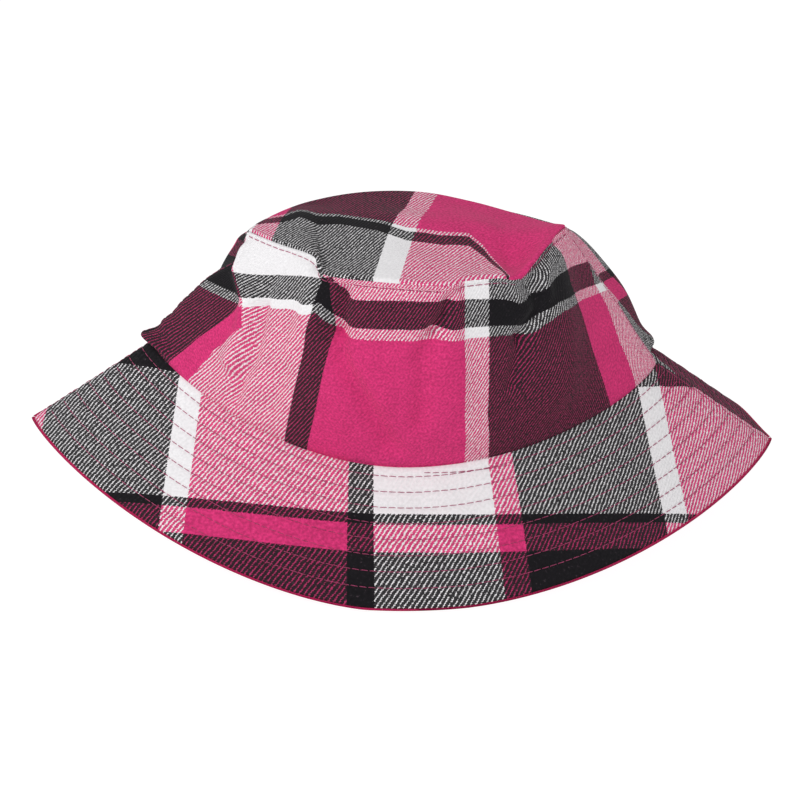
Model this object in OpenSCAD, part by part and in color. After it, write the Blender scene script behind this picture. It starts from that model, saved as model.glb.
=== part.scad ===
// Soft plaid bucket hat, standing on the rim of its brim.
// Sewn shell: crown tip, two crown side panels, two brim panels with stiffening,
// a plain lining that also faces the underside of the brim, and stitched rows.
// Millimetres. X runs from side seam to side seam, -Y is the front, +Z is up.
// The origin is on the floor under the middle of the hat.

/* [Head opening] */
// Half width of the head opening at the side seams
opening_half_width = 118; // [108:0.5:128]
// Depth of the head opening ahead of the side seams
opening_front_depth = 60; // [50:0.5:80]
// Depth of the head opening behind the side seams
opening_back_depth = 66; // [50:0.5:80]
// Height of the crown and brim seam at the middle of the front
opening_height = 37; // [25:0.5:50]
// Extra height of that seam at the left side seam
opening_lift_left = 35; // [0:0.5:45]
// Extra height of that seam at the right side seam
opening_lift_right = 20; // [0:0.5:45]

/* [Brim] */
// Half width of the brim at the side seams
brim_half_width = 175.5; // [155:0.5:185]
// Depth of the brim ahead of and behind the side seams
brim_depth = 117; // [95:0.5:130]
// How far the left tip of the brim is lifted off the floor
brim_lift_left = 33; // [0:0.5:45]
// How far the right tip of the brim is lifted off the floor
brim_lift_right = 15; // [0:0.5:45]
// Share of the brim half width that lies on the floor
floor_share = 0.12; // [0.05:0.01:0.4]
// Width of the brim panel from the crown seam to the rim
brim_width = 67; // [55:0.5:75]
// Rise of the back brim beside the right side seam
back_brim_rise = 9; // [0:0.5:14]

/* [Crown] */
// Half width of the crown tip at the side seams
tip_half_width = 73; // [60:0.5:90]
// Depth of the tip ahead of the side seams
tip_front_depth = 55; // [40:0.5:70]
// Depth of the tip behind the side seams
tip_back_depth = 50; // [40:0.5:70]
// Height of the tip seam
tip_height = 126; // [105:0.5:140]
// Sag of the tip seam along the middle of the front
tip_front_sag = 5; // [0:0.5:12]
// Sag of the tip seam along the right of the back
tip_back_sag = 9; // [0:0.5:15]
// Outward fullness of the side panels
crown_fullness = 3; // [0:0.5:8]
// Extra fullness of the back panel beside the right side seam
back_fullness = 12; // [0:0.5:16]
// Height of the side panels, measured on the flat cloth
crown_height = 86; // [75:0.5:95]

/* [Cloth and thread] */
// Thickness of the brushed plaid cloth
flannel = 1.2; // [0.8:0.1:2]
// Thickness of the brim stiffening
stiffening = 0.6; // [0.3:0.1:1.2]
// Thickness of the plain lining cloth
lining = 0.5; // [0.3:0.1:1]
// Gap left between one layer and the next
layer_gap = 0.05; // [0.02:0.01:0.2]
// Depth of lining cloth rolled out around the rim
rim_roll = 1; // [0.5:0.1:2]
// Thread thickness
thread = 0.5; // [0.3:0.05:0.8]
// Distance of the first stitched row from the crown seam
first_row = 5; // [3:0.5:8]
// Distance from one stitched row to the next
row_pitch = 7.5; // [6:0.1:8]
// Distance of the topstitching from a seam
seam_stitch = 2.5; // [1.5:0.1:4]

/* [Hidden] */

front = -1;
back = 1;
steps = 40;
samples = 120;
trim = 0.0015;
bottom = 2.55;
pink = [0.84, 0.20, 0.47];
fuchsia = [0.78, 0.08, 0.39];
white = [0.93, 0.93, 0.93];

// ---------------------------------------------------------------- small helpers
function clamp(x) = min(1, max(0, x));
function ramp(a, b, x) = let(u = clamp((x - a) / (b - a))) u * u * (3 - 2 * u);
function mix(p, q, k) = p * (1 - k) + q * k;
function unit(v) = v / norm(v);
// Stations along a panel, closer together toward the side seams.
function station(i) = let(u = i / steps) u / 2 + (1 - cos(180 * u)) / 4;

// ---------------------------------------------------------------- the seam curves
// One half loop from the left side seam to the right one, spaced by angle.
function half_loop(side, half_w, depth, shape, z0, lift_l, lift_r, power, flat) = [
    for (i = [0 : samples])
        let(c = -cos(180 * i / samples), s = sin(180 * i / samples))
        let(up = pow(clamp((abs(c) - flat) / (1 - flat)), power))
        [half_w * c, side * depth * pow(s, 2 / shape), z0 + up * (c < 0 ? lift_l : lift_r)]];

// Running length along a list of points.
function run_length(p) = [for (i = 0, s = 0; i < len(p);
    s = s + (i + 1 < len(p) ? norm(p[i + 1] - p[i]) : 0), i = i + 1) s];

// Tables that give x, y and z for an even share of the length.
function by_length(p) = let(s = run_length(p), all = s[len(p) - 1])
    [for (a = [0 : 2]) [for (i = [0 : len(p) - 1]) [s[i] / all, p[i][a]]]];
function at(curve, t) = [for (a = [0 : 2]) lookup(t, curve[a])];

function opening_curve(side) = by_length(half_loop(side, opening_half_width,
    side == front ? opening_front_depth : opening_back_depth, 1.35,
    opening_height + bottom, opening_lift_left, opening_lift_right, 1.9, 0));
function rim_curve(side) = by_length(half_loop(side, brim_half_width, brim_depth, 1.2,
    bottom, brim_lift_left, brim_lift_right, 1.35, floor_share));
function tip_sag(side, x) = side == front
    ? tip_front_sag * ramp(-44, -32, x) * (1 - ramp(48, 68, x))
    : tip_back_sag * ramp(-60, 40, x) * (1 - ramp(30, 73, x)) + 3 * (1 - pow(x / 73, 2));
function tip_loop(side) = [
    for (p = half_loop(side, tip_half_width,
        side == front ? tip_front_depth : tip_back_depth,
        side == front ? 2.1 : 1.8, tip_height + bottom, 0, 0, 2, 0))
        [p[0], p[1], p[2] - tip_sag(side, p[0])]];
function tip_curve(side) = by_length(tip_loop(side));

opening_f = opening_curve(front);
opening_b = opening_curve(back);
rim_f = rim_curve(front);
rim_b = rim_curve(back);
tip_f = tip_curve(front);
tip_b = tip_curve(back);

// ---------------------------------------------------------------- the three surfaces
// Weight that is strongest just behind the right side seam and nothing at the seam.
function beside_right_seam(t) = ramp(0.62, 0.9, t) * (1 - ramp(0.93, 1, t));

// Brim: t runs from the left side seam to the right one, h from the crown seam out.
function brim_at(side, t, h) =
    mix(at(side == front ? opening_f : opening_b, t), at(side == front ? rim_f : rim_b, t),
        h / brim_width)
    + [0, 0, side == back ? back_brim_rise * beside_right_seam(t) : 0];

// Side panel: k runs from the crown seam up to the tip seam.
function swell(side, t, k) = sin(180 * k) * (crown_fullness * sin(180 * t)
    + (side == back ? back_fullness * beside_right_seam(t) : 0));
function wall_at(side, t, k) =
    let(p = mix(at(side == front ? opening_f : opening_b, t),
        at(side == front ? tip_f : tip_b, t), k))
    p + unit([p[0], p[1], 0]) * swell(side, t, k);

// Tip: v runs from the front tip seam to the back one.
function tip_at(t, v) = mix(at(tip_f, t), at(tip_b, t), v)
    + [0, 0, 3 * sin(180 * v) * sqrt(max(0, sin(180 * t)))];

// kind 0 brim, 1 side panel, 2 tip
function place(kind, side, t, u) =
    kind == 0 ? brim_at(side, t, u) : kind == 1 ? wall_at(side, t, u) : tip_at(t, u);
function outward(kind, side) = kind == 0 ? side : kind == 1 ? -side : 1;
function face_normal(kind, side, t, u) =
    let(e = 0.006, f = kind == 0 ? 1 : 0.01)
    let(a = place(kind, side, min(1, t + e), u) - place(kind, side, max(0, t - e), u))
    let(b = place(kind, side, t, u + f) - place(kind, side, t, u - f))
    outward(kind, side) * unit(cross(a, b));

// ---------------------------------------------------------------- solids
function turn(faces, swap) = swap ? [for (f = faces) [f[2], f[1], f[0]]] : faces;
function sheet_faces(ni, nj) =
    let(w = nj + 1, m = (ni + 1) * (nj + 1))
    concat(
        [for (i = [0 : ni - 1]) for (j = [0 : nj - 1]) let(a = i * w + j) [a, a + w, a + w + 1]],
        [for (i = [0 : ni - 1]) for (j = [0 : nj - 1]) let(a = i * w + j) [a, a + w + 1, a + 1]],
        [for (i = [0 : ni - 1]) for (j = [0 : nj - 1]) let(a = m + i * w + j)
            [a, a + w + 1, a + w]],
        [for (i = [0 : ni - 1]) for (j = [0 : nj - 1]) let(a = m + i * w + j)
            [a, a + 1, a + w + 1]],
        [for (i = [0 : ni - 1]) let(a = i * w) [m + a, m + a + w, a + w]],
        [for (i = [0 : ni - 1]) let(a = i * w) [m + a, a + w, a]],
        [for (i = [0 : ni - 1]) let(a = i * w + nj) [m + a, a, a + w]],
        [for (i = [0 : ni - 1]) let(a = i * w + nj) [m + a, a + w, m + a + w]],
        [for (j = [0 : nj - 1]) [m + j, j, j + 1]],
        [for (j = [0 : nj - 1]) [m + j, j + 1, m + j + 1]],
        [for (j = [0 : nj - 1]) let(a = ni * w + j) [m + a, m + a + 1, a + 1]],
        [for (j = [0 : nj - 1]) let(a = ni * w + j) [m + a, a + 1, a]]);

// A cloth panel: rows lists the stations across it, over and under the two faces.
module panel(kind, side, rows, over, under, ends = [trim, 1 - trim]) {
    n = len(rows) - 1;
    outer = [for (i = [0 : steps]) for (j = [0 : n])
        let(t = mix(ends[0], ends[1], station(i)))
        place(kind, side, t, rows[j]) + face_normal(kind, side, t, rows[j]) * over[j]];
    inner = [for (i = [0 : steps]) for (j = [0 : n])
        let(t = mix(ends[0], ends[1], station(i)))
        place(kind, side, t, rows[j]) + face_normal(kind, side, t, rows[j]) * under[j]];
    polyhedron(points = concat(outer, inner),
        faces = turn(sheet_faces(steps, n), outward(kind, side) > 0), convexity = 6);
}

function tube_ring(c, n, b, r) = [c + n * r, c + b * r, c - n * r, c - b * r];
function tube_sides(count, last) = concat(
    [for (i = [0 : last]) for (q = [0 : 3]) let(a = i * 4, b = ((i + 1) % count) * 4)
        [a + q, b + q, b + (q + 1) % 4]],
    [for (i = [0 : last]) for (q = [0 : 3]) let(a = i * 4, b = ((i + 1) % count) * 4)
        [a + q, b + (q + 1) % 4, a + (q + 1) % 4]]);

// A thread laid on a line of points, n pointing away from the cloth.
module thread_line(pts, normals, closed) {
    count = len(pts);
    rings = [for (i = [0 : count - 1])
        let(ahead = pts[closed ? (i + 1) % count : min(count - 1, i + 1)])
        let(behind = pts[closed ? (i + count - 1) % count : max(0, i - 1)])
        let(b = unit(cross(ahead - behind, normals[i])))
        for (p = tube_ring(pts[i], normals[i], b, thread / 2)) p];
    last = closed ? count - 1 : count - 2;
    e = (count - 1) * 4;
    caps = closed ? [] : [[0, 1, 2], [0, 2, 3], [e, e + 2, e + 1], [e, e + 3, e + 2]];
    polyhedron(points = rings, faces = concat(turn(tube_sides(count, last), true),
        turn(caps, true)), convexity = 4);
}

// A stitched row around the whole hat.
module stitched_loop(kind, u) {
    way = concat([for (i = [0 : steps]) [front, station(i)]],
        [for (i = [steps - 1 : -1 : 1]) [back, station(i)]]);
    normals = [for (w = way)
        w[1] == 0 || w[1] == 1
            ? unit(face_normal(kind, front, w[1], u) + face_normal(kind, back, w[1], u))
            : face_normal(kind, w[0], w[1], u)];
    pts = [for (i = [0 : len(way) - 1])
        place(kind, way[i][0], way[i][1], u)
        + normals[i] * (thread / 2 + 0.25 + (abs(way[i][1] - 0.5) > 0.484 ? 0.6 : 0))];
    thread_line(pts, normals, true);
}

// A stitched line beside a side seam, on the panel that the seam allowance is pressed to.
module stitched_seam(kind, side, t, from, to) {
    n = 12;
    normals = [for (i = [0 : n]) face_normal(kind, side, t, mix(from, to, i / n))];
    pts = [for (i = [0 : n])
        place(kind, side, t, mix(from, to, i / n)) + normals[i] * (thread / 2 + 0.15)];
    thread_line(pts, normals, false);
}

// ---------------------------------------------------------------- crown
top_share = 1 - (flannel + 0.4) / crown_height;
wall_rows = [0.004, 0.14, 0.3, 0.45, 0.6, 0.75, 0.88, top_share];
tip_rows = [0.006, 0.1, 0.25, 0.42, 0.58, 0.75, 0.9, 0.994];
function same(rows, value) = [for (r = rows) value];
lining_face = -flannel - layer_gap;

module crown_tip() {
    color(pink) panel(2, front, tip_rows, same(tip_rows, 0), same(tip_rows, -flannel),
        [0.02, 0.98]);
}
module crown_side(side) {
    color(pink) panel(1, side, wall_rows, same(wall_rows, 0), same(wall_rows, -flannel));
}
module crown_side_front() { crown_side(front); }
module crown_side_back() { crown_side(back); }

// ---------------------------------------------------------------- brim
brim_rows = [0.6, 12, 24, 36, 48, 58, brim_width];
under_rows = [0.6, 12, 24, 36, 48, 58, brim_width + 0.1, brim_width + 0.2,
    brim_width + rim_roll];
stiff_rows = [0.6, 12, 24, 36, 48, 58, brim_width - 1];
stiff_face = -flannel - layer_gap;
under_face = stiff_face - stiffening - layer_gap;

module brim_top(side) {
    color(white) panel(0, side, brim_rows, same(brim_rows, 0), same(brim_rows, -flannel));
}
module brim_top_front() { brim_top(front); }
module brim_top_back() { brim_top(back); }

module brim_stiffening(side) {
    color(white) panel(0, side, stiff_rows, same(stiff_rows, stiff_face),
        same(stiff_rows, stiff_face - stiffening));
}
module brim_stiffening_front() { brim_stiffening(front); }
module brim_stiffening_back() { brim_stiffening(back); }

// The underside cloth turns up around the rim by rim_roll.
module brim_under(side) {
    over = [for (h = under_rows) h > brim_width + 0.15 ? -0.1 : under_face];
    color(fuchsia) panel(0, side, under_rows, over, same(under_rows, under_face - lining));
}
module brim_under_front() { brim_under(front); }
module brim_under_back() { brim_under(back); }

// ---------------------------------------------------------------- lining
module lining_tip() {
    color(fuchsia) panel(2, front, [0.05, 0.2, 0.4, 0.6, 0.8, 0.95],
        same([1, 1, 1, 1, 1, 1], lining_face - 0.2),
        same([1, 1, 1, 1, 1, 1], lining_face - 0.2 - lining), [0.05, 0.95]);
}
lining_rows = [0.006, 0.14, 0.3, 0.45, 0.6, 0.75, 0.88, top_share - 0.02];
module lining_side(side) {
    color(fuchsia) panel(1, side, lining_rows, same(lining_rows, lining_face),
        same(lining_rows, lining_face - lining), [0.006, 0.994]);
}
module lining_side_front() { lining_side(front); }
module lining_side_back() { lining_side(back); }

// ---------------------------------------------------------------- stitching
module brim_stitch_row(i) {
    color(fuchsia) stitched_loop(0, first_row + row_pitch * (i - 1));
}
module brim_stitch_row_1() { brim_stitch_row(1); }
module brim_stitch_row_2() { brim_stitch_row(2); }
module brim_stitch_row_3() { brim_stitch_row(3); }
module brim_stitch_row_4() { brim_stitch_row(4); }
module brim_stitch_row_5() { brim_stitch_row(5); }
module brim_stitch_row_6() { brim_stitch_row(6); }
module brim_stitch_row_7() { brim_stitch_row(7); }
module brim_stitch_row_8() { brim_stitch_row(8); }
module tip_topstitch() {
    color(fuchsia) stitched_loop(1, 1 - (seam_stitch + 1.5) / crown_height);
}

seam_t = seam_stitch / 285;
module crown_seam_stitch_left() {
    color(fuchsia) stitched_seam(1, back, seam_t * 1.3, 0.03, 0.9);
}
module crown_seam_stitch_right() {
    color(fuchsia) stitched_seam(1, front, 1 - seam_t * 1.3, 0.03, 0.9);
}
module brim_seam_stitch_left() {
    color(fuchsia) stitched_seam(0, back, seam_t, 1.5, brim_width - 1);
}
module brim_seam_stitch_right() {
    color(fuchsia) stitched_seam(0, front, 1 - seam_t, 1.5, brim_width - 1);
}

crown_tip();
crown_side_front();
crown_side_back();
brim_top_front();
brim_top_back();
brim_stiffening_front();
brim_stiffening_back();
brim_under_front();
brim_under_back();
lining_tip();
lining_side_front();
lining_side_back();
brim_stitch_row_1();
brim_stitch_row_2();
brim_stitch_row_3();
brim_stitch_row_4();
brim_stitch_row_5();
brim_stitch_row_6();
brim_stitch_row_7();
brim_stitch_row_8();
tip_topstitch();
crown_seam_stitch_left();
crown_seam_stitch_right();
brim_seam_stitch_left();
brim_seam_stitch_right();
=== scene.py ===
"""A soft plaid bucket hat standing on its rim: cloth panels, lining, stiffening and stitching."""
import math

import bpy
import numpy as np
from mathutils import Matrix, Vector


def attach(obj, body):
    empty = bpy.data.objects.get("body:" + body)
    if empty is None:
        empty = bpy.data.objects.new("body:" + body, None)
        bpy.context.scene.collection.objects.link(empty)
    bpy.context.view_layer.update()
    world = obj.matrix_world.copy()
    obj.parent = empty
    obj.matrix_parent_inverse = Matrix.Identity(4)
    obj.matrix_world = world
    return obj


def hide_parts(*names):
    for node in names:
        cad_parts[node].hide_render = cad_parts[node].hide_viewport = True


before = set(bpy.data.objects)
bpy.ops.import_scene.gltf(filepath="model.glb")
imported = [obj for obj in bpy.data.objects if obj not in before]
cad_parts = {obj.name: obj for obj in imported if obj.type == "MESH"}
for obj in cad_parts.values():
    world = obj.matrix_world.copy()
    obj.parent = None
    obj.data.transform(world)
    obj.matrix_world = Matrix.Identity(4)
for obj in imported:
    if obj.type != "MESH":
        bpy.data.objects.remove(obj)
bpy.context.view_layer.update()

MM = 0.001
FRONT, BACK = -1, 1

# ------------------------------------------------------------------ shape
# Driving sizes in millimetres, close to the CAD part's. The crown is a little fuller here.
BOTTOM = 2.55
OPENING_HALF, OPENING_DEPTH = 118.0, {FRONT: 60.0, BACK: 66.0}
OPENING_Z, OPENING_LIFT = 37.0 + BOTTOM, (35.0, 20.0)
BRIM_HALF, BRIM_DEPTH, BRIM_LIFT = 175.5, 117.0, (33.0, 15.0)
BRIM_WIDTH = 67.0
BACK_BRIM_RISE, BACK_FULLNESS = 9.0, 13.5
CROWN_HEIGHT, CROWN_FULLNESS = 88.0, 3.0
# A panel's length along the crown seam, along the rim, and how much a crown side loses upward.
SEAM_LENGTH, RIM_LENGTH, TOP_NARROWING = 285.0, 440.0, 78.0
UV_PER_MM = 0.01
FLANNEL, STIFF, LINING, GAP = 1.2, 0.6, 0.5, 0.05
FIRST_ROW, ROW_PITCH, ROWS = 5.0, 7.5, 8

# The tip seam as it slumps: along the front from left to right, then along the back.
TIP_FRONT = [(-71, 0, 128.5), (-56, -14, 128), (-43, -26, 128.5), (-38.5, -31, 127), (-37, -37, 124),
             (-30, -41, 123.5), (-4, -48, 123.5), (16, -49, 122.5), (23, -45, 123), (38, -42, 123),
             (46, -40, 121.5), (53, -31, 125), (61, -17, 128), (72, 0, 128.5)]
TIP_BACK = [(-71, 0, 128.5), (-66, 16, 126), (-46, 39, 126), (-20, 49, 127), (8, 50, 126.5),
            (32, 46, 123), (52, 35, 121), (66, 17, 123), (72, 0, 128.5)]


def ramp(a, b, x):
    """Smooth step from 0 at a to 1 at b."""
    u = np.clip((np.asarray(x, float) - a) / (b - a), 0, 1)
    return u * u * (3 - 2 * u)


def bell(d, width):
    """Smooth bump of height 1 around d = 0."""
    return np.exp(-(d / width) ** 2)


def by_length(points, count=800):
    """Table of points at even shares of the line's length."""
    points = np.asarray(points, float)
    run = np.r_[0, np.cumsum(np.linalg.norm(np.diff(points, axis=0), axis=1))]
    share = np.linspace(0, run[-1], count)
    return np.stack([np.interp(share, run, points[:, k]) for k in range(3)], 1)


def at(table, t):
    """Point at share t of a table from by_length."""
    x = np.linspace(0, 1, len(table))
    return np.stack([np.interp(t, x, table[:, k]) for k in range(3)], -1)


def half_loop(side, half, depth, shape, z, lift, power, flat):
    """Front or back half of a rounded lens seen from above, lifted toward its two ends."""
    angle = np.linspace(np.pi, 0, 1601)
    c, s = np.cos(angle), np.sin(angle)
    up = np.clip((np.abs(c) - flat) / (1 - flat), 0, None) ** power
    rise = np.where(c < 0, lift[0], lift[1]) * up
    return np.stack([half * c, side * depth * np.abs(s) ** (2 / shape), z + rise], 1)


def smooth_line(knots, each=24):
    """Catmull-Rom line through given points."""
    k = np.asarray(knots, float)
    k = np.vstack([2 * k[0] - k[1], k, 2 * k[-1] - k[-2]])
    u = np.linspace(0, 1, each, endpoint=False)[:, None]
    runs = []
    for i in range(1, len(k) - 2):
        a, b, c, d = k[i - 1:i + 3]
        runs.append(0.5 * (2 * b + (c - a) * u + (2 * a - 5 * b + 4 * c - d) * u ** 2
                           + (3 * b - a - 3 * c + d) * u ** 3))
    return np.vstack(runs + [k[-2:-1]])


OPENING = {s: by_length(half_loop(s, OPENING_HALF, OPENING_DEPTH[s], 1.35, OPENING_Z,
                                  OPENING_LIFT, 1.9, 0)) for s in (FRONT, BACK)}
RIM = {s: by_length(half_loop(s, BRIM_HALF, BRIM_DEPTH, 1.2, BOTTOM, BRIM_LIFT, 1.35, 0.12))
       for s in (FRONT, BACK)}
TIP = {FRONT: by_length(smooth_line(TIP_FRONT)), BACK: by_length(smooth_line(TIP_BACK))}


def beside_right_seam(t):
    """Weight that is strongest just behind the right side seam and nothing at the seam."""
    return ramp(0.62, 0.90, t) * (1 - ramp(0.93, 1, t))


def brim_base(side, t, h):
    """The brim without seams or stitching, h mm out from the crown seam."""
    share = (h / BRIM_WIDTH)[..., None]
    p = at(OPENING[side], t) * (1 - share) + at(RIM[side], t) * share
    if side == BACK:
        p[..., 2] += BACK_BRIM_RISE * ramp(0.66, 0.90, t) * (1 - ramp(0.93, 1, t))
    return p


# Folds of the crown wall: height and half width in mm, then the (t, k) points that the fold
# runs through. t runs along the panel from the left side seam, k from the brim seam (0) up
# to the tip seam (1).
FOLDS = {
    FRONT: [
        (4.5, 6, [(0.03, 0.88), (0.065, 0.77), (0.135, 0.63), (0.160, 0.48), (0.168, 0.28)]),
        (-3.8, 3.5, [(0.165, 0.62), (0.183, 0.49), (0.194, 0.33), (0.192, 0.17), (0.197, 0.08)]),
        (-1.5, 3.5, [(0.145, 0.95), (0.152, 0.78), (0.163, 0.64)]),
        (3.5, 10, [(0.24, 0.92), (0.28, 0.72)]),
        (-3.6, 4, [(0.335, 0.99), (0.345, 0.85), (0.350, 0.70)]),
        (-3.2, 5, [(0.350, 0.69), (0.372, 0.53), (0.417, 0.37), (0.462, 0.15), (0.475, 0.08)]),
        (1.2, 6, [(0.385, 0.62), (0.425, 0.48), (0.455, 0.38)]),
        (-3.4, 3.2, [(0.578, 0.97), (0.567, 0.86), (0.540, 0.75)]),
        (-2.4, 4.5, [(0.537, 0.74), (0.516, 0.61), (0.522, 0.48), (0.517, 0.26)]),
        (-2.8, 4.5, [(0.757, 0.97), (0.780, 0.84), (0.773, 0.77), (0.735, 0.71), (0.720, 0.65)]),
        (-2.4, 4, [(0.718, 0.64), (0.700, 0.52), (0.680, 0.40)]),
        (2.6, 5, [(0.840, 0.95), (0.805, 0.87), (0.795, 0.82)]),
        (4.0, 14, [(0.86, 0.85), (0.77, 0.30)]),
        (1.5, 18, [(0.56, 0.45), (0.58, 0.20)]),
        (-1.8, 4, [(0.270, 0.40), (0.262, 0.15)]),
    ],
    BACK: [
        (3.5, 8, [(0.07, 0.85), (0.10, 0.62)]), (4.0, 14, [(0.15, 0.95), (0.25, 0.2)]),
        (-3.0, 5, [(0.33, 0.9), (0.35, 0.5), (0.39, 0.15)]), (2.0, 22, [(0.5, 0.7), (0.5, 0.2)]),
        (-3.4, 5, [(0.64, 0.95), (0.60, 0.6), (0.585, 0.3)]), (3.0, 14, [(0.75, 0.8), (0.70, 0.2)]),
        (5.5, 8, [(0.84, 0.09), (0.955, 0.07)]), (4.0, 4, [(0.90, 0.035), (0.97, 0.025)]),
        (-2.2, 4, [(0.46, 0.97), (0.45, 0.7)]), (-2.0, 4, [(0.80, 0.5), (0.79, 0.15)]),
    ],
}
# The left side seam's drift off its straight line: height k, half height, then x, y, z in mm.
SEAM_DRIFT = [(0.76, 0.13, 7, -2, 0), (0.055, 0.04, -7, 0, 0.5), (0.16, 0.06, -2, 0, 1),
              (0.3, 0.1, -1, 0, 1)]


def wall_mm(t, k):
    """Flat distances on a crown side panel, for folds and weave."""
    return (t - 0.5) * (SEAM_LENGTH - TOP_NARROWING * k), CROWN_HEIGHT * k


def fold_height(side, t, k):
    """Sum of all the folds of a crown side."""
    x, y = wall_mm(t, k)
    total = np.zeros(np.broadcast(t, k).shape)
    for height, width, path in FOLDS[side]:
        nearest = np.full(total.shape, np.inf)
        for start, end in zip(path, path[1:]):
            ax, ay = wall_mm(*start)
            bx, by = wall_mm(*end)
            dx, dy = bx - ax, by - ay
            share = np.clip(((x - ax) * dx + (y - ay) * dy) / (dx * dx + dy * dy), 0, 1)
            nearest = np.minimum(nearest, np.hypot(x - ax - share * dx, y - ay - share * dy))
        total += height * bell(nearest, width)
    return total * (1 - ramp(0.93, 0.99, k))


def seam_drift(side, t, k):
    """How far the wall follows the left side seam off its straight line."""
    reach = 1 - ramp(0, 0.07 if side == FRONT else 0.1, t)
    reach = reach * ramp(0, 0.02, k) * (1 - ramp(0.93, 1, k))
    drift = sum(bell(k - at_k, tall)[..., None] * np.array(move) for at_k, tall, *move in SEAM_DRIFT)
    return drift * reach[..., None]


def wall_base(side, t, k):
    """A crown side with its slump and folds, from the brim seam (k 0) to the tip seam (k 1)."""
    share = k[..., None]
    p = at(OPENING[side], t) * (1 - share) + at(TIP[side], t) * share + seam_drift(side, t, k)
    arch = np.sin(np.pi * np.clip(k, 0, 1))
    swell = arch * CROWN_FULLNESS * np.sin(np.pi * t)
    if side == BACK:
        swell += BACK_FULLNESS * np.sqrt(arch) * beside_right_seam(t)
    hold = ramp(0, 0.14, k) * (1 - ramp(0.9, 1.0, k)) * ramp(0, 0.04, t) * (1 - ramp(0.96, 1, t))
    swell += fold_height(side, t, k) * hold
    flat = np.stack([p[..., 0], p[..., 1], np.zeros_like(p[..., 0])], -1)
    return p + flat / np.linalg.norm(flat, axis=-1, keepdims=True) * swell[..., None]


def tip_base(t, v):
    """The tip of the crown, from its front seam (v 0) to its back one (v 1)."""
    share = v[..., None]
    p = at(TIP[FRONT], t) * (1 - share) + at(TIP[BACK], t) * share
    x, y = p[..., 0], p[..., 1]
    inside = np.sin(np.pi * v) ** 0.7 * np.sqrt(np.clip(np.sin(np.pi * t), 0, 1))
    dent = -5.5 * bell(np.hypot((x - 46) * 0.8, y + 22), 20)
    dent += -2.0 * bell(np.hypot(x + 34, y + 26), 12)
    crest = 2.2 * bell(y - 12 + 0.15 * x, 14)
    p[..., 2] += inside * (1.5 + dent + crest)
    return p


# ------------------------------------------------------------------ cloth coordinates
# Stripes of the check, in mm. Warp stripes run up the cloth, weft stripes across it.
P, W, B = "pink", "white", "black"
WARP = [(71.5, P), (11, B), (53.5, W), (11, P), (64.5, B), (12, W)]
WEFT = [(66, P), (5, W), (13, B), (70, W), (5, B), (13, P), (66, B), (5, P), (13, W)]
# The flat pattern of a brim half is a band of a circle, outside this radius and over this angle.
BRIM_RADIUS, BRIM_ANGLE = 160.0, math.radians(106.5)
# Where panels lie on the cloth, in mm: the middle of each brim half's crown seam, the back crown
# side with how far it slopes from seam to seam, and the tip.
BRIM_PLACE = {FRONT: (98.6, 131), BACK: (25, 57)}
BACK_SIDE_U, BACK_SIDE_V, BACK_SIDE_SLOPE = 137, 237.6, 27.3
TIP_U, TIP_V = 211.5, 77.5
# Where the warp stripes' edges lie along the front crown side, at the heights in WALL_K.
WALL_K = [0, 0.26, 0.5, 0.63, 0.77, 0.95, 1]
WALL_EDGES = {
    147: [0.064, 0.085, 0.115, 0.128, 0.057, -0.005, -0.02],
    136: [0.112, 0.125, 0.163, 0.135, 0.062, 0, -0.01],
    82.5: [0.303, 0.300, 0.298, 0.297, 0.295, 0.286, 0.24],
    71.5: [0.340, 0.343, 0.342, 0.341, 0.334, 0.303, 0.27],
    0: [0.591, 0.589, 0.592, 0.596, 0.603, 0.613, 0.616],
    -12: [0.632, 0.632, 0.642, 0.650, 0.658, 0.673, 0.678],
    -76.5: [0.860, 0.866, 0.876, 0.880, 0.886, 0.912, 0.92],
    -87.5: [0.922, 0.938, 0.962, 0.970, 1.002, 1.03, 1.04],
}
# Height of the black weft stripe's lower edge along the same panel.
WEFT_T = [0, 0.10, 0.20, 0.25, 0.30, 0.325, 0.355, 0.47, 0.56, 0.68, 0.73, 0.77, 0.82, 0.87, 1]
WEFT_K = [0.56, 0.62, 0.71, 0.78, 0.85, 0.80, 0.735, 0.76, 0.765, 0.73, 0.71, 0.735, 0.74, 0.70,
          0.60]
BLACK_WEFT = 71
# Where the black weft stripe's edge lies across the tip of the crown.
TIP_STRIPE_X = [-55, -48, -40, -30, -12, 0, 15, 28, 34, 40, 43, 46]
TIP_STRIPE_Y = [14, 18, 13, 12, 4, -3.5, -5.5, -4, -12, -28, -42, -90]


def brim_cloth(side, t, h):
    """Warp and weft places, in mm, on the cloth of a brim half."""
    a = BRIM_ANGLE * (t - 0.5)
    u, v = (BRIM_RADIUS + h) * np.sin(a), (BRIM_RADIUS + h) * np.cos(a) - BRIM_RADIUS
    place_u, place_v = BRIM_PLACE[side]
    if side == BACK:
        return u + place_u, v + place_v
    pull = np.interp(t, [0, 0.08, 0.13, 0.25, 0.90, 1], [2.4, -4, -4, 0, 0, 6.5])
    return u + place_u, v + place_v - 0.02 * u + pull * (1 - ramp(25, 50, h))


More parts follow.
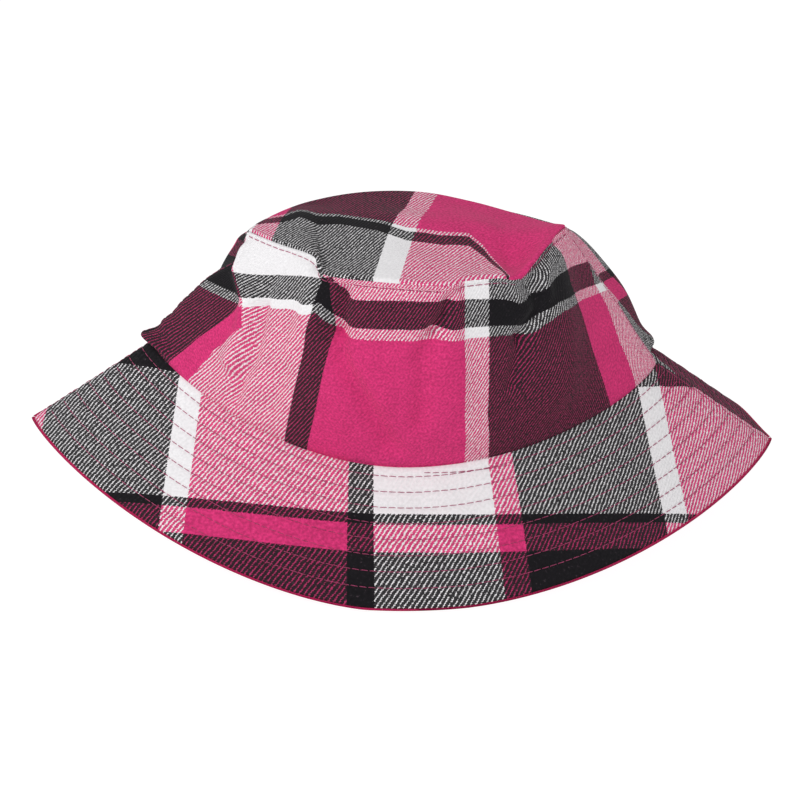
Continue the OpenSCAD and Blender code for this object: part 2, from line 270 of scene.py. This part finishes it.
def wall_cloth(side, t, k):
    """Warp and weft places, in mm, on the cloth of a crown side."""
    if side == BACK:
        u = BACK_SIDE_U - 24 * np.maximum(0.63 - k, 0) + (1 - t) * SEAM_LENGTH * (1 - 0.15 * k)
        return u, BACK_SIDE_V - BACK_SIDE_SLOPE * t - CROWN_HEIGHT * k
    places = list(WALL_EDGES)
    knots = [np.interp(k, WALL_K, WALL_EDGES[e]) for e in places]
    u = places[0] + (knots[0] - t) * SEAM_LENGTH
    for i in range(len(places) - 1):
        share = np.clip((t - knots[i]) / (knots[i + 1] - knots[i]), 0, 1)
        u = np.where(t > knots[i], places[i] + (places[i + 1] - places[i]) * share, u)
    u = np.where(t > knots[-1], places[-1] - (t - knots[-1]) * SEAM_LENGTH, u)
    above = k - np.interp(t, WEFT_T, WEFT_K)
    above = np.where(above > 0, above * (1 + 0.35 * bell(t - 0.79, 0.045)), above)
    v = CROWN_HEIGHT * above + BLACK_WEFT
    return u, np.maximum(v, 1)


def tip_cloth(x, y):
    """Warp and weft places, in mm, on the cloth of the tip."""
    w = y - np.interp(x, TIP_STRIPE_X, TIP_STRIPE_Y)
    w = np.where(w > -4, (w + 4) * 1.8 - 5, (w + 4) * 1.2 - 5)
    u = TIP_U + 1.08 * (x + 8 - 0.14 * w) - 12 * ramp(40, 52, -x)
    return u, np.maximum(TIP_V - w, 2)


# ------------------------------------------------------------------ surfaces
def normals(p, sign):
    """Unit normals of a grid of points; sign makes them face outward."""
    du = np.gradient(p, axis=0)
    dv = np.gradient(p, axis=1)
    n = np.cross(du, dv)
    return sign * n / np.maximum(np.linalg.norm(n, axis=-1, keepdims=True), 1e-9)


def lattice(a, b):
    return np.meshgrid(a, b, indexing="ij")


def seam_dip(distance, depth, width):
    """How far cloth turns in beside a seam that is distance away."""
    return -depth * np.exp(-np.maximum(distance, 0) / width)


def brim_surface(side, t, h):
    """Outer face of the brim, with its stitched channels."""
    p = brim_base(side, t, h)
    n = normals(p, side)
    lift = seam_dip(h, 1.0, 1.0)
    length = SEAM_LENGTH + h * 2.2
    lift += seam_dip(np.minimum(t, 1 - t) * length, 0.5, 1.2)
    if side == BACK:
        lift += seam_dip(t * length, 0.9, 7)
    for i in range(ROWS):
        row = FIRST_ROW + ROW_PITCH * i
        pucker = 0.75 + 0.25 * np.sin(t * length * 1.55 + i * 2.1)
        lift -= 0.42 * bell(h - row, 1.1) * pucker
    wave = np.sin(t * 61 + h * 0.23) * np.sin(t * 37 - h * 0.31 + 1)
    lift += 0.16 * wave * ramp(2, 8, h) * (1 - ramp(62, 67, h))
    return p + n * lift[..., None], n


def wall_surface(side, t, k):
    """Outer face of a crown side, with its seams turned in."""
    p = wall_base(side, t, k)
    n = normals(p, -side)
    y = CROWN_HEIGHT * k
    lift = seam_dip(y, 0.8, 0.9) + seam_dip(CROWN_HEIGHT - y, 0.9, 0.7)
    lift += 0.35 * bell(CROWN_HEIGHT - y - 1.6, 1.2) - 0.35 * bell(CROWN_HEIGHT - y - 3.2, 0.8)
    lift += seam_dip(np.minimum(t, 1 - t) * (SEAM_LENGTH - TOP_NARROWING * k), 0.7, 1.2)
    x = t * SEAM_LENGTH
    ripple = np.sin(x * 0.11 + y * 0.05) * np.sin(x * 0.043 - y * 0.13 + 0.7)
    lift += 0.35 * ripple * ramp(0, 0.1, k) * (1 - ramp(0.92, 1, k))
    return p + n * lift[..., None], n


def tip_surface(t, v):
    """Outer face of the tip, with its seam turned in."""
    p = tip_base(t, v)
    n = normals(p, 1)
    from_front, from_back = (
        np.linalg.norm(p[..., :2] - at(TIP[side], t)[..., :2], axis=-1) for side in (FRONT, BACK))
    edge = np.minimum(from_front, from_back)
    lift = seam_dip(edge, 0.9, 0.8) + 0.3 * bell(edge - 2.2, 1.4)
    x, y = p[..., 0], p[..., 1]
    lift += 0.4 * np.sin(x * 0.13 + 1) * np.sin(y * 0.17 + x * 0.05) * ramp(2, 10, edge)
    return p + n * lift[..., None], n


# ------------------------------------------------------------------ meshes
def add_mesh(name, points, faces, material, uv=None):
    """A smooth-shaded object from points in mm."""
    mesh = bpy.data.meshes.new(name)
    mesh.from_pydata((np.asarray(points) * MM).tolist(), [], [list(map(int, f)) for f in faces])
    for layer, values in (uv or {}).items():
        data = mesh.uv_layers.new(name=layer)
        loops = np.empty(len(mesh.loops), dtype=np.int32)
        mesh.loops.foreach_get("vertex_index", loops)
        data.data.foreach_set("uv", np.asarray(values, np.float32)[loops].ravel())
    mesh.validate()
    mesh.update()
    mesh.polygons.foreach_set("use_smooth", [True] * len(mesh.polygons))
    piece = bpy.data.objects.new(name, mesh)
    bpy.context.collection.objects.link(piece)
    piece.data.materials.append(material)
    return piece


def shell(name, outer, inner, material, sett=None, weave=None, flip=False):
    """A closed cloth panel from its outer and inner grids of points."""
    ni, nj = outer.shape[:2]
    count = ni * nj
    index = np.arange(count).reshape(ni, nj)
    a, b, c, d = index[:-1, :-1], index[1:, :-1], index[1:, 1:], index[:-1, 1:]
    top = np.stack([a, b, c, d], -1).reshape(-1, 4)
    faces = [top, top[:, ::-1] + count]
    for edge, back in ((index[:, 0], True), (index[:, -1], False),
                       (index[0, :], False), (index[-1, :], True)):
        e0, e1 = edge[:-1], edge[1:]
        wall = np.stack([e0, e1, e1 + count, e0 + count], -1)
        faces.append(wall[:, ::-1] if back else wall)
    faces = np.vstack(faces)
    if flip:
        faces = faces[:, ::-1]
    uv = {}
    for layer, grids in (("sett", sett), ("weave", weave)):
        if grids is not None:
            flat = np.stack([grids[0].ravel(), grids[1].ravel()], -1) * UV_PER_MM
            uv[layer] = np.vstack([flat, flat])
    return add_mesh(name, np.vstack([outer.reshape(-1, 3), inner.reshape(-1, 3)]), faces, material, uv)


# ------------------------------------------------------------------ materials
class Nodes:
    """Short names for building a material's node tree."""

    def __init__(self, name, roughness, sheen=0.0):
        self.material = bpy.data.materials.new(name)
        self.material.use_nodes = True
        self.tree = self.material.node_tree
        self.tree.nodes.clear()
        out = self.new("ShaderNodeOutputMaterial")
        self.surface = self.new("ShaderNodeBsdfPrincipled")
        self.surface.inputs["Roughness"].default_value = roughness
        self.surface.inputs["Specular IOR Level"].default_value = 0.12
        self.surface.inputs["Sheen Weight"].default_value = sheen
        self.surface.inputs["Sheen Roughness"].default_value = 0.6
        self.surface.inputs["Sheen Tint"].default_value = (1, 1, 1, 1)
        self.join(self.surface.outputs[0], out.inputs[0])

    def new(self, kind):
        return self.tree.nodes.new(kind)

    def join(self, source, target):
        self.tree.links.new(source, target)

    def put(self, value, target):
        if isinstance(value, (int, float)):
            target.default_value = value
        else:
            self.join(value, target)

    def math(self, operation, *values):
        node = self.new("ShaderNodeMath")
        node.operation = operation
        for socket, value in zip(node.inputs, values):
            self.put(value, socket)
        return node.outputs[0]

    def uv(self, layer):
        node = self.new("ShaderNodeUVMap")
        node.uv_map = layer
        split = self.new("ShaderNodeSeparateXYZ")
        self.join(node.outputs[0], split.inputs[0])
        return node.outputs[0], split.outputs[0], split.outputs[1]

    def place(self):
        return self.new("ShaderNodeTexCoord").outputs["Object"]

    def noise(self, vector, scale, detail, stretch=None):
        if stretch:
            node = self.new("ShaderNodeMapping")
            node.inputs["Scale"].default_value = stretch
            self.join(vector, node.inputs["Vector"])
            vector = node.outputs[0]
        node = self.new("ShaderNodeTexNoise")
        node.inputs["Scale"].default_value = scale
        node.inputs["Detail"].default_value = detail
        self.join(vector, node.inputs["Vector"])
        return node.outputs[0]

    def spread(self, value, low, high, to_low=0.0, to_high=1.0):
        """Value between low and high, taken smoothly onto another range."""
        node = self.new("ShaderNodeMapRange")
        node.interpolation_type = "SMOOTHSTEP"
        self.put(value, node.inputs["Value"])
        node.inputs["From Min"].default_value = low
        node.inputs["From Max"].default_value = high
        node.inputs["To Min"].default_value = to_low
        node.inputs["To Max"].default_value = to_high
        return node.outputs[0]

    def mix(self, share, first, second):
        """Blend of two colours, given as tuples or as sockets."""
        node = self.new("ShaderNodeMix")
        node.data_type = "RGBA"
        self.put(share, node.inputs[0])
        for socket, value in ((node.inputs[6], first), (node.inputs[7], second)):
            if isinstance(value, tuple):
                socket.default_value = value
            else:
                self.join(value, socket)
        return node.outputs[2]

    def steps(self, value, bands, colours):
        """Colour of the stripe that value falls in, for stripes of the given widths."""
        total = sum(width for width, _ in bands)
        node = self.new("ShaderNodeValToRGB")
        node.color_ramp.interpolation = "CONSTANT"
        stops = node.color_ramp.elements
        edge = 0.0
        for i, (width, colour) in enumerate(bands):
            stop = stops[0] if i == 0 else stops.new(edge / total)
            stop.color = colours[colour]
            edge += width
        stops.remove(stops[len(stops) - 1])
        self.join(self.math("FRACT", self.math("DIVIDE", value, total)), node.inputs[0])
        return node.outputs[0]

    def bump(self, height, distance):
        node = self.new("ShaderNodeBump")
        node.inputs["Distance"].default_value = distance
        node.inputs["Strength"].default_value = 1.0
        self.join(height, node.inputs["Height"])
        self.join(node.outputs[0], self.surface.inputs["Normal"])


def srgb(*channels):
    """Linear colour from 0 to 255 screen values."""
    shares = [c / 255 for c in channels]
    return tuple(((c + 0.055) / 1.055) ** 2.4 if c > 0.04 else c / 12.92 for c in shares) + (1.0,)


YARN = {P: srgb(212, 52, 116), W: srgb(240, 238, 240), B: srgb(21, 19, 23)}
WARP_PITCH, WEFT_PITCH = 0.44, 0.68
# How strongly a yarn's red and green shrink its share of a mixed area, and the most they can: partly
# painted shade between the threads, partly fuzz.
RED_LEAN, GREEN_LEAN, MOST_LEAN = 0.47, 0.09, 0.31
# Tint of stray nap fibres, and a grey-purple haze of painted sheen where pink crosses black.
NAP_TINT, PLUM_SHEEN_HAZE = (0.50, 0.34, 0.42, 1), (0.30, 0.34, 0.42, 1)


def plaid_material():
    """Brushed 2/2 twill: the warp shows on one half of each diagonal, the weft on the other."""
    n = Nodes("plaid_flannel", 0.95, sheen=0.06)
    _, su, sv = n.uv("sett")
    weave, wu, wv = n.uv("weave")

    def centred(noise, amount):
        return n.math("MULTIPLY", n.math("SUBTRACT", noise, 0.5), amount)

    def off_centre(thread):
        """0 on the middle of a thread and 1 between two threads."""
        phase = n.math("MULTIPLY", n.math("FRACT", thread), 2)
        return n.math("ABSOLUTE", n.math("SUBTRACT", phase, 1))

    frizz = centred(n.noise(weave, 170, 2), 1.5)
    u = n.math("ADD", n.math("MULTIPLY", su, 1 / UV_PER_MM), frizz)
    v = n.math("ADD", n.math("MULTIPLY", sv, 1 / UV_PER_MM), frizz)
    warp = n.steps(u, WARP, YARN)
    weft = n.steps(v, WEFT, YARN)

    wander = centred(n.noise(weave, 40, 3), 2.2)
    warp_thread = n.math("ADD", n.math("MULTIPLY", wu, 1 / UV_PER_MM / WARP_PITCH), wander)
    weft_thread = n.math("MULTIPLY", wv, 1 / UV_PER_MM / WEFT_PITCH)
    diagonal = n.math("DIVIDE", n.math("ADD", warp_thread, weft_thread), 4)
    ridge = off_centre(diagonal)
    over_warp, over_weft = off_centre(warp_thread), off_centre(weft_thread)
    grain = n.math("MULTIPLY", n.math("SUBTRACT", over_warp, over_weft), 0.34)
    slub = n.math("ADD", centred(n.noise(weave, 70, 3), 1.1), centred(n.noise(weave, 150, 2), 1.2))

    def red_and_green(colour):
        parts = n.new("ShaderNodeSeparateColor")
        n.join(colour, parts.inputs[0])
        return parts.outputs[0], parts.outputs[1]

    # The darker yarn is given more of a mixed area: painted shade between the threads, with some fuzz.
    red_gap, green_gap = (
        n.math("SUBTRACT", a, b) for a, b in zip(red_and_green(weft), red_and_green(warp)))
    red_lean = n.math("MULTIPLY", red_gap, RED_LEAN)
    thread_shade_lean = n.math("ADD", red_lean, n.math("MULTIPLY", green_gap, GREEN_LEAN))
    thread_shade_lean = n.math("MAXIMUM", n.math("MINIMUM", thread_shade_lean, MOST_LEAN), -MOST_LEAN)
    # Plum is about 0.6 where pink crosses black, and almost nothing elsewhere.
    red_step, green_step = n.math("ABSOLUTE", red_gap), n.math("ABSOLUTE", green_gap)
    plum = n.math("MAXIMUM", n.math("SUBTRACT", red_step, green_step), 0)
    lean = n.math("SUBTRACT", n.math("ADD", slub, grain), thread_shade_lean)
    share = n.spread(n.math("ADD", ridge, lean), 0.45, 0.55, 0.03, 0.97)
    colour = n.mix(share, warp, weft)
    # Painted sheen: a grey-purple haze of the nap catching light where pink crosses black.
    colour = n.mix(n.math("MULTIPLY", plum, 0.06), colour, PLUM_SHEEN_HAZE)

    nap = n.noise(weave, 85, 4)
    speck = n.noise(weave, 260, 2)
    patch = n.noise(weave, 9, 4)
    fibre = n.mix(n.spread(nap, 0.60, 0.85, 0.0, 0.14), colour, NAP_TINT)
    # The nap mottles the white yarn much less than the others.
    vivid = n.math("SUBTRACT", 1, n.math("MULTIPLY", red_and_green(colour)[1], 0.85))
    shade = n.math("ADD", n.spread(nap, 0.3, 0.7, -0.24, 0.20), n.spread(patch, 0.3, 0.7, -0.05, 0.04))
    shade = n.math("ADD", 1, n.math("MULTIPLY", shade, vivid))
    # Painted shade between the threads: where pink crosses black the colour is darkened.
    shade = n.math("MULTIPLY", shade, n.math("SUBTRACT", 1, n.math("MULTIPLY", plum, 0.45)))
    dark_fleck = n.math("MULTIPLY", n.spread(speck, 0.64, 0.76, 0.0, 0.42), vivid)
    shade = n.math("MULTIPLY", shade, n.math("SUBTRACT", 1, dark_fleck))
    tone = n.new("ShaderNodeHueSaturation")
    n.join(fibre, tone.inputs["Color"])
    n.join(shade, tone.inputs["Value"])
    n.join(tone.outputs[0], n.surface.inputs["Base Color"])
    height = n.math("ADD", n.math("MULTIPLY", ridge, 0.5), n.math("MULTIPLY", nap, 0.8))
    n.bump(height, 0.00025)
    return n.material


def plain_material(name, colour, pitch_mm):
    """Plain woven cloth, from crossing sine ridges over the piece itself."""
    n = Nodes(name, 0.9, sheen=0.1)
    place = n.place()
    split = n.new("ShaderNodeSeparateXYZ")
    n.join(place, split.inputs[0])
    turn = 2 * math.pi / (pitch_mm * MM)
    across = n.math("SINE", n.math("MULTIPLY", split.outputs[0], turn))
    depth_and_height = n.math("ADD", split.outputs[1], split.outputs[2])
    along = n.math("SINE", n.math("MULTIPLY", depth_and_height, turn))
    fuzz = n.noise(place, 1600, 3)
    patch = n.noise(place, 45, 3)
    level = n.math("ADD", n.spread(fuzz, 0.25, 0.75, 0.84, 1.1), n.spread(patch, 0.3, 0.7, -0.05, 0.05))
    tone = n.new("ShaderNodeHueSaturation")
    tone.inputs["Color"].default_value = colour
    n.join(level, tone.inputs["Value"])
    n.join(tone.outputs[0], n.surface.inputs["Base Color"])
    n.bump(n.math("ADD", n.math("MULTIPLY", n.math("MULTIPLY", across, along), 0.5), fuzz), 0.00012)
    return n.material


def thread_material():
    """Twisted sewing thread, a shade darker than the pink yarn."""
    n = Nodes("sewing_thread", 0.6, sheen=0.2)
    place = n.place()
    twist = n.noise(place, 2600, 2, stretch=(1.0, 1.0, 1.6))
    colour = n.mix(n.spread(twist, 0.3, 0.7), srgb(138, 34, 76), srgb(186, 72, 120))
    n.join(colour, n.surface.inputs["Base Color"])
    n.bump(twist, 0.0001)
    return n.material


plaid = plaid_material()
fuchsia = plain_material("fuchsia_lining", srgb(196, 16, 88), 0.5)
interfacing = plain_material("brim_interfacing", srgb(232, 230, 222), 0.8)
thread = thread_material()

# ------------------------------------------------------------------ cloth pieces
COUNT = 1.0


def even(count):
    return max(8, int(count * COUNT))


def place_piece(piece, node):
    """Hangs a cloth piece under the root body and hides the solid it stands for."""
    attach(piece, "root")
    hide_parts(node)


def brim_rows():
    """Distances out from the crown seam, closer together at both edges."""
    fine = np.arange(0, BRIM_WIDTH, 0.55 / COUNT)
    return np.unique(np.r_[fine, 0.3, BRIM_WIDTH - 0.8, BRIM_WIDTH - 0.4, BRIM_WIDTH])


def along(count, inset=0.0008):
    """Stations along a panel, closer together toward the side seams."""
    u = np.linspace(0, 1, count)
    t = u / 2 + (1 - np.cos(np.pi * u)) / 4
    return inset + t * (1 - 2 * inset)


# How densely the threads run against the pitches above, and how much that grows to the right
# along a brim half.
BRIM_WEAVE, CROWN_WEAVE, RIGHT_TIGHTENING = 0.78, 1.12, 0.0018


def brim_top(side, word):
    t, h = lattice(along(even(420)), brim_rows())
    top, n = brim_surface(side, t, h)
    cloth = brim_cloth(side, t, h)
    turned = top + n * seam_dip(BRIM_WIDTH - h, 0.95, 0.7)[..., None]
    across = np.maximum((BRIM_RADIUS + h) * np.sin(BRIM_ANGLE * (t - 0.5)), 0)
    weave = (BRIM_WEAVE * (cloth[0] + RIGHT_TIGHTENING * across ** 2), cloth[1] * BRIM_WEAVE)
    piece = shell("brim_top_cloth_" + word, turned, top - n * FLANNEL, plaid, cloth, weave,
                  flip=side == FRONT)
    place_piece(piece, "brim_top_" + word)


def brim_stiffening(side, word):
    t, h = lattice(along(even(160), 0.002), np.linspace(0.8, BRIM_WIDTH - 1, even(36)))
    low, n = brim_surface(side, t, h)
    face = low - n * (FLANNEL + GAP)
    piece = shell("brim_interfacing_" + word, face, face - n * STIFF, interfacing,
                  flip=side == FRONT)
    place_piece(piece, "brim_stiffening_" + word)


def brim_under(side, word):
    """Lower cloth of the brim, whose edge rolls out past the upper cloth along the rim."""
    rows = np.r_[np.linspace(0.2, BRIM_WIDTH - 1, even(110)), BRIM_WIDTH - 0.2,
                 BRIM_WIDTH + 0.15, BRIM_WIDTH + 0.4, BRIM_WIDTH + 0.6, BRIM_WIDTH + 0.8]
    t, h = lattice(along(even(420)), rows)
    face, n = brim_surface(side, t, np.minimum(h, BRIM_WIDTH - 1))
    base = brim_base(side, t, h) + face - brim_base(side, t, np.minimum(h, BRIM_WIDTH - 1))
    depth = FLANNEL + STIFF + 2 * GAP
    roll = ramp(BRIM_WIDTH - 0.1, BRIM_WIDTH + 0.2, h)
    lip = 1.1 + 0.6 * ramp(BRIM_WIDTH + 0.3, BRIM_WIDTH + 0.8, h)
    over = base - n * (depth * (1 - roll) + lip * roll)[..., None]
    round_off = 0.5 * ramp(BRIM_WIDTH, BRIM_WIDTH + 0.8, h)
    under = base - n * (depth + LINING - round_off)[..., None]
    piece = shell("brim_under_cloth_" + word, over, under, fuchsia, flip=side == FRONT)
    place_piece(piece, "brim_under_" + word)


def crown_side(side, word):
    """Plaid crown side. It runs on below the brim seam, and its top edge hides under the tip."""
    rows = np.r_[-0.028, -0.012, 0, 0.003, 0.008,
                 np.linspace(0.015, 0.93, even(110)), np.linspace(0.938, 1, 14)]
    t, k = lattice(along(even(360)), rows)
    wall, n = wall_surface(side, t, k)
    x, y = wall_mm(t, k)
    weave = (-CROWN_WEAVE * x, CROWN_WEAVE * y)
    up = np.array([0, 0, 1])
    hidden = ramp(0.94, 0.985, k)[..., None]
    wall = wall - 0.5 * up * ramp(0.97, 1, k)[..., None]
    inward = n * (1 - hidden) + up * hidden
    piece = shell("crown_side_cloth_" + word, wall, wall - inward * FLANNEL, plaid,
                  wall_cloth(side, t, k), weave, flip=side == BACK)
    place_piece(piece, "crown_side_" + word)


def side_lining(side, word):
    t, k = lattice(along(even(160), 0.006), np.linspace(-0.03, 0.97, even(50)))
    wall, n = wall_surface(side, t, k)
    wall = wall - n * (FLANNEL + 4 * GAP)
    piece = shell("lining_side_cloth_" + word, wall, wall - n * LINING, fuchsia, flip=side == BACK)
    place_piece(piece, "lining_side_" + word)


def crown_tip():
    edge_rows = np.array([0, 0.006, 0.014, 0.024, 0.036, 0.05, 0.065, 0.08])
    rows = np.r_[edge_rows, np.linspace(0.1, 0.9, even(80)), 1 - edge_rows[::-1]]
    t, v = lattice(along(even(240), 0.006), rows)
    top, n = tip_surface(t, v)
    x, y = top[..., 0], top[..., 1]
    piece = shell("crown_tip_cloth", top, top - n * FLANNEL, plaid, tip_cloth(x, y), (x, -y), True)
    place_piece(piece, "crown_tip")


def tip_lining():
    t, v = lattice(along(even(120), 0.05), np.linspace(0.04, 0.96, even(40)))
    top, n = tip_surface(t, v)
    top = top - n * (FLANNEL + 5 * GAP)
    piece = shell("lining_tip_cloth", top, top - n * LINING, fuchsia, flip=True)
    place_piece(piece, "lining_tip")


for side, word in ((FRONT, "front"), (BACK, "back")):
    for make in (brim_top, brim_stiffening, brim_under, crown_side, side_lining):
        make(side, word)
crown_tip()
tip_lining()


# ------------------------------------------------------------------ stitching
STITCH, STITCH_GAP, THREAD = 3.8, 0.06, 0.34
# Distance of the tip's row from the tip seam, and share of a panel beside the side seams.
TIP_STITCH = 3.4
SEAM_STITCH = 2.5 / SEAM_LENGTH
THREAD_SIDES = 6
# The first brim row overlaps its own start in front, between these shares of the panel.
OVERLAP = 0.52, 0.66


def stitches(points, outs, start, sink, proud):
    """Separate stitches along a line, each arching out of the cloth between two needle holes."""
    run = np.r_[0, np.cumsum(np.linalg.norm(np.diff(points, axis=0), axis=1))]
    first = np.arange(start, run[-1] - STITCH, STITCH + STITCH_GAP)
    share = np.linspace(0, 1, 7)
    s = first[:, None] + share[None, :] * STITCH
    centre = np.stack([np.interp(s, run, points[:, i]) for i in range(3)], -1)
    out = np.stack([np.interp(s, run, outs[:, i]) for i in range(3)], -1)
    out /= np.linalg.norm(out, axis=-1, keepdims=True)
    arch = proud - (proud + sink) * np.abs(2 * share - 1) ** 10
    centre = centre + out * arch[None, :, None]
    tangent = np.gradient(centre, axis=1)
    tangent /= np.linalg.norm(tangent, axis=-1, keepdims=True)
    cross = np.cross(tangent, out)
    radius = THREAD / 2 * (0.55 + 0.45 * np.sqrt(np.clip(1 - (2 * share - 1) ** 4, 0, 1)))
    angle = np.linspace(0, 2 * np.pi, THREAD_SIDES, endpoint=False)
    ring = (cross[:, :, None] * np.cos(angle)[:, None] + out[:, :, None] * np.sin(angle)[:, None])
    points = centre[:, :, None] + ring * radius[None, :, None, None]
    count, rings = points.shape[:2]
    index = np.arange(count * rings * THREAD_SIDES).reshape(count, rings, THREAD_SIDES)
    a, b = index[:, :-1], index[:, 1:]
    quads = np.stack([a, np.roll(a, -1, 2), np.roll(b, -1, 2), b], -1).reshape(-1, 4)
    caps = [list(x) for x in index[:, 0, ::-1]] + [list(x) for x in index[:, -1]]
    return points.reshape(-1, 3), quads.tolist() + caps


def add_stitching(name, node, lines):
    """One piece from several lines of (points, outward directions, start, sink, proud)."""
    verts, faces, base = [], [], 0
    for line in lines:
        p, f = stitches(*line)
        faces += [[i + base for i in face] for face in f]
        verts.append(p)
        base += len(p)
    piece = add_mesh(name, np.vstack(verts), faces, thread)
    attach(piece, "root")
    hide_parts(node)


def row_line(side, h, from_t=0.004, to_t=0.996):
    """A stitched row's line on the outer face of the brim, and its outward directions."""
    t = np.linspace(from_t, to_t, 900)
    step = 0.3
    p, n = brim_surface(side, *lattice(t, np.array([h - step, h, h + step])))
    return p[:, 1], n[:, 1]


def overlap_line(h):
    """The end of the first row, drifting across its start by a millimetre or two."""
    p, n = row_line(FRONT, h, *OVERLAP)
    drift = np.linspace(-1.8, 1.2, len(p))[:, None]
    strip = brim_base(FRONT, *lattice(np.linspace(*OVERLAP, len(p)), np.array([h, h + 1])))
    down = np.gradient(strip, axis=1)[:, 0]
    return p + down * drift + n * 0.12, n, 1.0, 0.3, 0.2


def brim_stitch_row(i):
    h = FIRST_ROW + ROW_PITCH * i
    lines = []
    for side in (FRONT, BACK):
        p, n = row_line(side, h)
        lines.append((p, n, 0.7 * (i % 4), 0.3, 0.16))
        under = p - n * (FLANNEL + STIFF + LINING + 2 * GAP)
        lines.append((under, -n, 2.0 + 0.7 * (i % 4), 0.25, 0.1))
    if i == 0:
        lines.append(overlap_line(h))
    add_stitching("brim_stitches_%d" % (i + 1), "brim_stitch_row_%d" % (i + 1), lines)


def tip_stitching():
    t = np.linspace(0.008, 0.992, 700)
    k = 1 - TIP_STITCH / CROWN_HEIGHT
    lines = []
    for side in (FRONT, BACK):
        p, n = wall_surface(side, *lattice(t, np.array([k - 0.003, k, k + 0.003])))
        lines.append((p[:, 1], n[:, 1], 0.5, 0.3, 0.14))
    add_stitching("tip_stitches", "tip_topstitch", lines)


def down_line(surface, side, t, rows):
    """A line running across a panel beside its side seam, and its outward directions."""
    step = 0.001
    p, n = surface(side, *lattice(np.array([t - step, t, t + step]), rows))
    return p[1], n[1]


def seam_stitching(side, t, word):
    """Rows beside a side seam, up the crown and out across the brim."""
    up = np.linspace(0.03, 0.94, 200)
    out = np.linspace(1.5, BRIM_WIDTH - 0.8, 200)
    line = down_line(wall_surface, side, t, up)
    add_stitching("crown_seam_stitches_" + word, "crown_seam_stitch_" + word,
                  [line + (0.4, 0.3, 0.06)])
    line = down_line(brim_surface, side, t, out)
    add_stitching("brim_seam_stitches_" + word, "brim_seam_stitch_" + word,
                  [line + (0.4, 0.3, 0.14)])


for i in range(ROWS):
    brim_stitch_row(i)
tip_stitching()
seam_stitching(BACK, SEAM_STITCH, "left")
seam_stitching(FRONT, 1 - SEAM_STITCH, "right")


# ------------------------------------------------------------------ floor, light and camera
# The photo's view: aim and distance in metres, angles in degrees, lens in mm.
VIEW_AIM = Vector((-0.0028, 0, 0.041))
VIEW_AZIMUTH, VIEW_ELEVATION, VIEW_DISTANCE = -2.0, 28.0, 0.85
VIEW_LENS = 81.1


def from_aim(azimuth, elevation, distance):
    """Place at a distance in metres from the aim. Azimuth 0 is the front."""
    a, e = math.radians(azimuth), math.radians(elevation)
    way = Vector((math.sin(a) * math.cos(e), -math.cos(a) * math.cos(e), math.sin(e)))
    return VIEW_AIM + distance * way


def point_at(thing, target):
    thing.rotation_euler = (target - thing.location).to_track_quat("-Z", "Y").to_euler()


def soft_light(name, azimuth, elevation, distance, size, watts):
    light = bpy.data.lights.new(name, "AREA")
    light.shape = "DISK"
    light.size = size
    light.energy = watts
    lamp = bpy.data.objects.new(name, light)
    lamp.location = from_aim(azimuth, elevation, distance)
    point_at(lamp, VIEW_AIM)
    bpy.context.collection.objects.link(lamp)


def floor_material():
    """Pale floor that is lit mostly by itself, so that the hat throws almost no shadow."""
    n = Nodes("studio_floor", 0.9)
    n.surface.inputs["Emission Color"].default_value = (1, 1, 1, 1)
    n.surface.inputs["Emission Strength"].default_value = 0.96
    patch = n.noise(n.place(), 3, 2)
    colour = n.mix(n.spread(patch, 0.3, 0.7), (0.14, 0.14, 0.14, 1), (0.16, 0.16, 0.16, 1))
    n.join(colour, n.surface.inputs["Base Color"])
    return n.material


FLOOR_REACH = 6000
corners = [(FLOOR_REACH * x, FLOOR_REACH * y, 0) for x, y in ((-1, -1), (1, -1), (1, 1), (-1, 1))]
floor = add_mesh("floor", corners, [(0, 1, 2, 3)], floor_material())

soft_light("key", azimuth=-55, elevation=48, distance=1.5, size=0.7, watts=10.5)
soft_light("fill", azimuth=45, elevation=35, distance=1.8, size=1.4, watts=4)
world = bpy.data.worlds.new("studio")
world.use_nodes = True
sky = world.node_tree.nodes["Background"]
sky.inputs["Color"].default_value = (1, 1, 1, 1)
sky.inputs["Strength"].default_value = 0.42
bpy.context.scene.world = world
bpy.context.scene.view_settings.view_transform = "Standard"

camera = bpy.data.objects.new("camera", bpy.data.cameras.new("camera"))
camera.data.lens = VIEW_LENS
camera.data.sensor_width = 36
camera.location = from_aim(VIEW_AZIMUTH, VIEW_ELEVATION, VIEW_DISTANCE)
point_at(camera, VIEW_AIM)
bpy.context.collection.objects.link(camera)
bpy.context.scene.camera = camera
